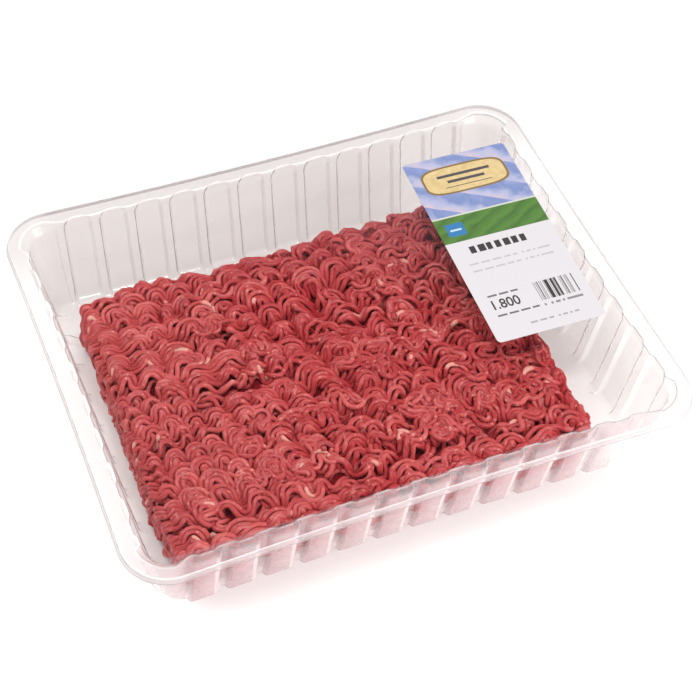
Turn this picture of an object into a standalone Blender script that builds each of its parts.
"""Retail tray pack of minced beef: a clear thermoformed tray, its clear lid film, a paper label on the
film, and the block of mince inside.

Millimetres are turned into Blender's metres by MM. The origin is the middle of the base: +X runs along
the long side, +Y to the far long side and +Z up.
"""

import math

import bmesh
import bpy
from mathutils import Matrix, Vector, noise

MM = 0.001

# Tray, clear PET. The rim is a rounded rectangle whose sides bow slightly inwards.
RIM_LENGTH = 325 * MM
RIM_WIDTH = 265 * MM
RIM_HEIGHT = 60 * MM
RIM_CORNER_RADIUS = 26.6 * MM
LONG_SIDE_BOW = 2.4 * MM
SHORT_SIDE_BOW = 1.0 * MM
FLANGE_WIDTH = 9 * MM
LIP_DROP = 3.6 * MM
EDGE_CHAMFER = 0.5 * MM
WALL = 0.6 * MM
DRAFT = math.radians(9.5)
WALL_CORNER_RADIUS = 14.5 * MM
TOP_FILLET = 2.5 * MM
FOOT_FILLET = 5.5 * MM

# Flutes: outward panels, arched at the top, with narrow grooves between them.
LONG_PANELS = 12
LONG_PITCH = 21.3 * MM
NEAR_SIDE_SHIFT = -4 * MM
SHORT_PANELS = 9
SHORT_PITCH = 23.5 * MM
PANEL_HALF_WIDTH = 6.9 * MM
PANEL_TAPER = 0.6 * MM
FLANK_WIDTH = 2 * MM
GROOVE_DEPTH = 3.3 * MM
CORNER_POINTS = 5

# Shares of the groove depth: grooves at the foot and heel, panels' edges at the shoulder and the flange.
FOOT_GROOVE = 0.5
HEEL_GROOVE = 0.9
SHOULDER_ARCH = 0.2
FLANGE_ARCH = 0.75

# Shares of the foot fillet: the heel above the floor, and the heel and the foot in from the wall.
HEEL_RISE = 0.3
HEEL_REACH = 0.25
FOOT_REACH = 0.75

# Share of the wall by which the base reaches out past the floor inside.
FOOT_TUCK = 0.2

# Lid film, sealed to the flange, and the label stuck on it.
GAP = 0.3 * MM
FILM_INSET = 1.2 * MM
FILM_THICKNESS = 0.2 * MM
LABEL_LENGTH = 145.5 * MM
LABEL_WIDTH = 66.6 * MM
LABEL_THICKNESS = 0.2 * MM
LABEL_CENTER = (108.6 * MM, 20.8 * MM)
LABEL_TURN = math.radians(-1.65)
LABEL_CORNER_RADIUS = 2.5 * MM

# Mince: an uneven block that fills the near left of the tray and leans on its near wall.
MINCE_LEFT = -135 * MM
MINCE_RIGHT = 111 * MM
MINCE_NEAR = -104.5 * MM
MINCE_FAR = 80 * MM
MINCE_HEIGHT = 43 * MM
MINCE_ROUNDING = 10 * MM
MINCE_CUTS = 12
MINCE_LUMPS = 2.4 * MM
LUMP_BIAS = 0.3
LUMP_SPACING = 24 * MM

FLOOR = WALL
DEPTH = RIM_HEIGHT - FLOOR


def clear_scene():
    for old in list(bpy.data.objects):
        bpy.data.objects.remove(old)


def material(name, color, roughness, transmission=0.0):
    made = bpy.data.materials.new(name)
    made.use_nodes = True
    shader = made.node_tree.nodes["Principled BSDF"]
    shader.inputs["Base Color"].default_value = (*color, 1)
    shader.inputs["Roughness"].default_value = roughness
    shader.inputs["Transmission Weight"].default_value = transmission
    return made


def add_object(name, mesh_source, surface):
    """Turn a bmesh into a named object with its faces pointing out."""
    bmesh.ops.recalc_face_normals(mesh_source, faces=mesh_source.faces)
    mesh = bpy.data.meshes.new(name)
    mesh_source.to_mesh(mesh)
    mesh_source.free()
    mesh.materials.append(surface)
    made = bpy.data.objects.new(name, mesh)
    bpy.context.scene.collection.objects.link(made)
    return made


def loft(rings):
    """Closed body through rings of equal length, the first and the last of them capped."""
    body = bmesh.new()
    loops = [[body.verts.new(point) for point in ring] for ring in rings]
    count = len(loops[0])
    for lower, upper in zip(loops, loops[1:]):
        for i in range(count):
            j = (i + 1) % count
            body.faces.new((lower[i], lower[j], upper[j], upper[i]))
    body.faces.new(loops[0])
    body.faces.new(loops[-1])
    return body


def bowed(x, y, z):
    """Pull the middle of each side inwards by its bow."""
    half_x = RIM_LENGTH / 2
    half_y = RIM_WIDTH / 2
    share_x = min(abs(x) / (half_x - RIM_CORNER_RADIUS), 1)
    share_y = min(abs(y) / (half_y - RIM_CORNER_RADIUS), 1)
    pull_x = SHORT_SIDE_BOW * (1 - share_y**2) * x / half_x
    pull_y = LONG_SIDE_BOW * (1 - share_x**2) * y / half_y
    return Vector((x - pull_x, y - pull_y, z))


def edge_point(along, half_along, half_across, radius):
    """Place and outward direction on the near side of a rounded rectangle, at a distance along it."""
    beyond = abs(along) - (half_along - radius)
    if beyond <= 0:
        return (along, -half_across), (0.0, -1.0)
    sine = min(beyond / radius, 1)
    cosine = math.sqrt(1 - sine * sine)
    side = math.copysign(1, along)
    place = (along, -half_across + radius * (1 - cosine))
    return place, (side * sine, -cosine)


def side_stations(panels, pitch, shift, half_width, groove, shoulder):
    """Distances along a side, each with how far in it is: at a groove, a panel's edge or its middle."""
    stations = []
    for index in range(panels):
        middle = (index - (panels - 1) / 2) * pitch + shift
        stations.append((middle - half_width - FLANK_WIDTH, groove))
        stations.append((middle - half_width, shoulder))
        stations.append((middle, 0))
        stations.append((middle + half_width, shoulder))
        stations.append((middle + half_width + FLANK_WIDTH, groove))
    return stations


def fluted_ring(inset, z, groove=0.0, shoulder=0.0, corner=0.0, widen=0.0):
    """Ring round the tray: inset from the rim, with its grooves, panel edges and corners further in."""
    half_x = RIM_LENGTH / 2 - inset
    half_y = RIM_WIDTH / 2 - inset
    radius = max(RIM_CORNER_RADIUS - inset, WALL_CORNER_RADIUS)
    half_width = PANEL_HALF_WIDTH - PANEL_TAPER * (RIM_HEIGHT - z) / DEPTH + widen
    sides = (
        (LONG_PANELS, LONG_PITCH, NEAR_SIDE_SHIFT, half_x, half_y),
        (SHORT_PANELS, SHORT_PITCH, 0, half_y, half_x),
        (LONG_PANELS, LONG_PITCH, 0, half_x, half_y),
        (SHORT_PANELS, SHORT_PITCH, 0, half_y, half_x),
    )
    points = []
    for turn, (panels, pitch, shift, half_along, half_across) in enumerate(sides):
        stations = side_stations(panels, pitch, shift, half_width, groove, shoulder)
        run = []
        for along, depth in stations:
            place, outward = edge_point(along, half_along, half_across, radius)
            run.append((place[0] - outward[0] * depth, place[1] - outward[1] * depth))
        center = (half_along - radius, -half_across + radius)
        next_panels, next_pitch, next_shift = sides[(turn + 1) % 4][:3]
        next_first = (next_panels - 1) / 2 * next_pitch - next_shift + half_width + FLANK_WIDTH
        start = math.asin(max(0, min((stations[-1][0] - center[0]) / radius, 1)))
        end = math.asin(max(0, min((next_first - (half_across - radius)) / radius, 1)))
        for step in range(1, CORNER_POINTS + 1):
            share = step / (CORNER_POINTS + 1)
            angle = start + (math.pi / 2 - end - start) * share
            reach = radius - corner
            run.append((center[0] + reach * math.sin(angle), center[1] - reach * math.cos(angle)))
        spin = Matrix.Rotation(turn * math.pi / 2, 2)
        for place in run:
            turned = spin @ Vector(place)
            points.append(bowed(turned.x, turned.y, z))
    return points


def wall_inset(z):
    """Inset of the panels' inner face at a height."""
    return FLANGE_WIDTH + (RIM_HEIGHT - z) * math.tan(DRAFT)


def make_tray():
    deep = GROOVE_DEPTH
    top = RIM_HEIGHT
    below = top - WALL
    lip = top - LIP_DROP
    shoulder = top - TOP_FILLET
    ankle = FLOOR + FOOT_FILLET
    heel = FLOOR + HEEL_RISE * FOOT_FILLET
    foot_inset = wall_inset(ankle) + FOOT_REACH * FOOT_FILLET
    heel_inset = wall_inset(ankle) + HEEL_REACH * FOOT_FILLET
    foot_groove = FOOT_GROOVE * deep
    heel_groove = HEEL_GROOVE * deep
    shoulder_arch = SHOULDER_ARCH * deep
    flange_arch = FLANGE_ARCH * deep
    spread = WALL / 2
    underside = wall_inset(shoulder) - WALL
    rings = [
        fluted_ring(foot_inset, FLOOR, foot_groove, corner=foot_groove),
        fluted_ring(heel_inset, heel, heel_groove, corner=deep),
        fluted_ring(wall_inset(ankle), ankle, deep, corner=deep),
        fluted_ring(wall_inset(shoulder), shoulder, deep, shoulder_arch, deep),
        fluted_ring(FLANGE_WIDTH, top, deep, flange_arch),
        fluted_ring(EDGE_CHAMFER, top),
        fluted_ring(0, top - EDGE_CHAMFER),
        fluted_ring(0, lip),
        fluted_ring(WALL, lip),
        fluted_ring(WALL, below),
        fluted_ring(FLANGE_WIDTH - WALL, below, deep, flange_arch, widen=spread),
        fluted_ring(underside, shoulder - spread, deep, shoulder_arch, deep, spread),
        fluted_ring(wall_inset(ankle) - WALL, ankle, deep, corner=deep, widen=spread),
        fluted_ring(heel_inset - WALL, heel - WALL, heel_groove, corner=deep, widen=spread),
        fluted_ring(foot_inset - FOOT_TUCK * WALL, 0, foot_groove, corner=foot_groove, widen=spread),
    ]
    surface = material("clear_pet", (0.93, 0.92, 0.92), 0.06, transmission=0.95)
    return add_object("tray", loft(rings), surface)


def plate(half_x, half_y, radius, corner_steps, side_steps):
    """Outline of a flat plate with rounded corners; its sides carry extra points so that they can bow."""
    outline = []
    for turn in range(4):
        along, across = (half_x, half_y) if turn % 2 == 0 else (half_y, half_x)
        spin = Matrix.Rotation(turn * math.pi / 2, 2)
        for step in range(side_steps):
            share = -1 + 2 * step / side_steps
            outline.append(spin @ Vector((share * (along - radius), -across)))
        for step in range(corner_steps):
            angle = math.pi / 2 * step / corner_steps
            x = along - radius + radius * math.sin(angle)
            y = -across + radius - radius * math.cos(angle)
            outline.append(spin @ Vector((x, y)))
    return outline


def make_lid_film():
    low = RIM_HEIGHT + GAP
    outline = plate(
        RIM_LENGTH / 2 - FILM_INSET,
        RIM_WIDTH / 2 - FILM_INSET,
        RIM_CORNER_RADIUS - FILM_INSET,
        corner_steps=6,
        side_steps=10,
    )
    heights = (low, low + FILM_THICKNESS)
    rings = [[bowed(point.x, point.y, z) for point in outline] for z in heights]
    surface = material("clear_film", (0.95, 0.95, 0.95), 0.08, transmission=0.97)
    return add_object("lid_film", loft(rings), surface)


def make_label():
    low = RIM_HEIGHT + GAP + FILM_THICKNESS + GAP
    outline = plate(LABEL_WIDTH / 2, LABEL_LENGTH / 2, LABEL_CORNER_RADIUS, corner_steps=5, side_steps=1)
    spin = Matrix.Rotation(LABEL_TURN, 2)
    middle = Vector(LABEL_CENTER)
    rings = []
    for z in (low, low + LABEL_THICKNESS):
        turned = [spin @ point + middle for point in outline]
        rings.append([Vector((point.x, point.y, z)) for point in turned])
    surface = material("label_paper", (0.86, 0.84, 0.86), 0.45)
    return add_object("label", loft(rings), surface)


def make_mince():
    """A subdivided box with round edges, lumpy on top and at the sides and flat below."""
    body = bmesh.new()
    bmesh.ops.create_cube(body, size=2)
    bmesh.ops.subdivide_edges(body, edges=body.edges, cuts=MINCE_CUTS, use_grid_fill=True)
    base = FLOOR + GAP
    half = Vector(
        (
            (MINCE_RIGHT - MINCE_LEFT) / 2,
            (MINCE_FAR - MINCE_NEAR) / 2,
            MINCE_HEIGHT / 2,
        )
    )
    middle = Vector(
        (
            (MINCE_RIGHT + MINCE_LEFT) / 2,
            (MINCE_FAR + MINCE_NEAR) / 2,
            base + MINCE_HEIGHT / 2,
        )
    )
    inner = half - Vector((MINCE_ROUNDING, MINCE_ROUNDING, MINCE_ROUNDING))
    for vert in body.verts:
        full = Vector(half[i] * vert.co[i] for i in range(3))
        core = Vector(max(-inner[i], min(full[i], inner[i])) for i in range(3))
        outward = (full - core).normalized()
        place = core + outward * MINCE_ROUNDING
        lump = noise.noise((place + middle) / LUMP_SPACING)
        share = (place.z + half.z) / (2 * half.z)
        place += outward * (lump - LUMP_BIAS) * MINCE_LUMPS
        # The near side leans out along the tray's near wall.
        if place.y < 0:
            place.y -= share * MINCE_HEIGHT * math.tan(DRAFT) * min(1, -place.y / inner.y)
        place += middle
        place.z = max(place.z, base)
        vert.co = place
    surface = material("raw_mince", (0.48, 0.08, 0.07), 0.35)
    return add_object("mince", body, surface)


clear_scene()
make_tray()
make_lid_film()
make_label()
make_mince()
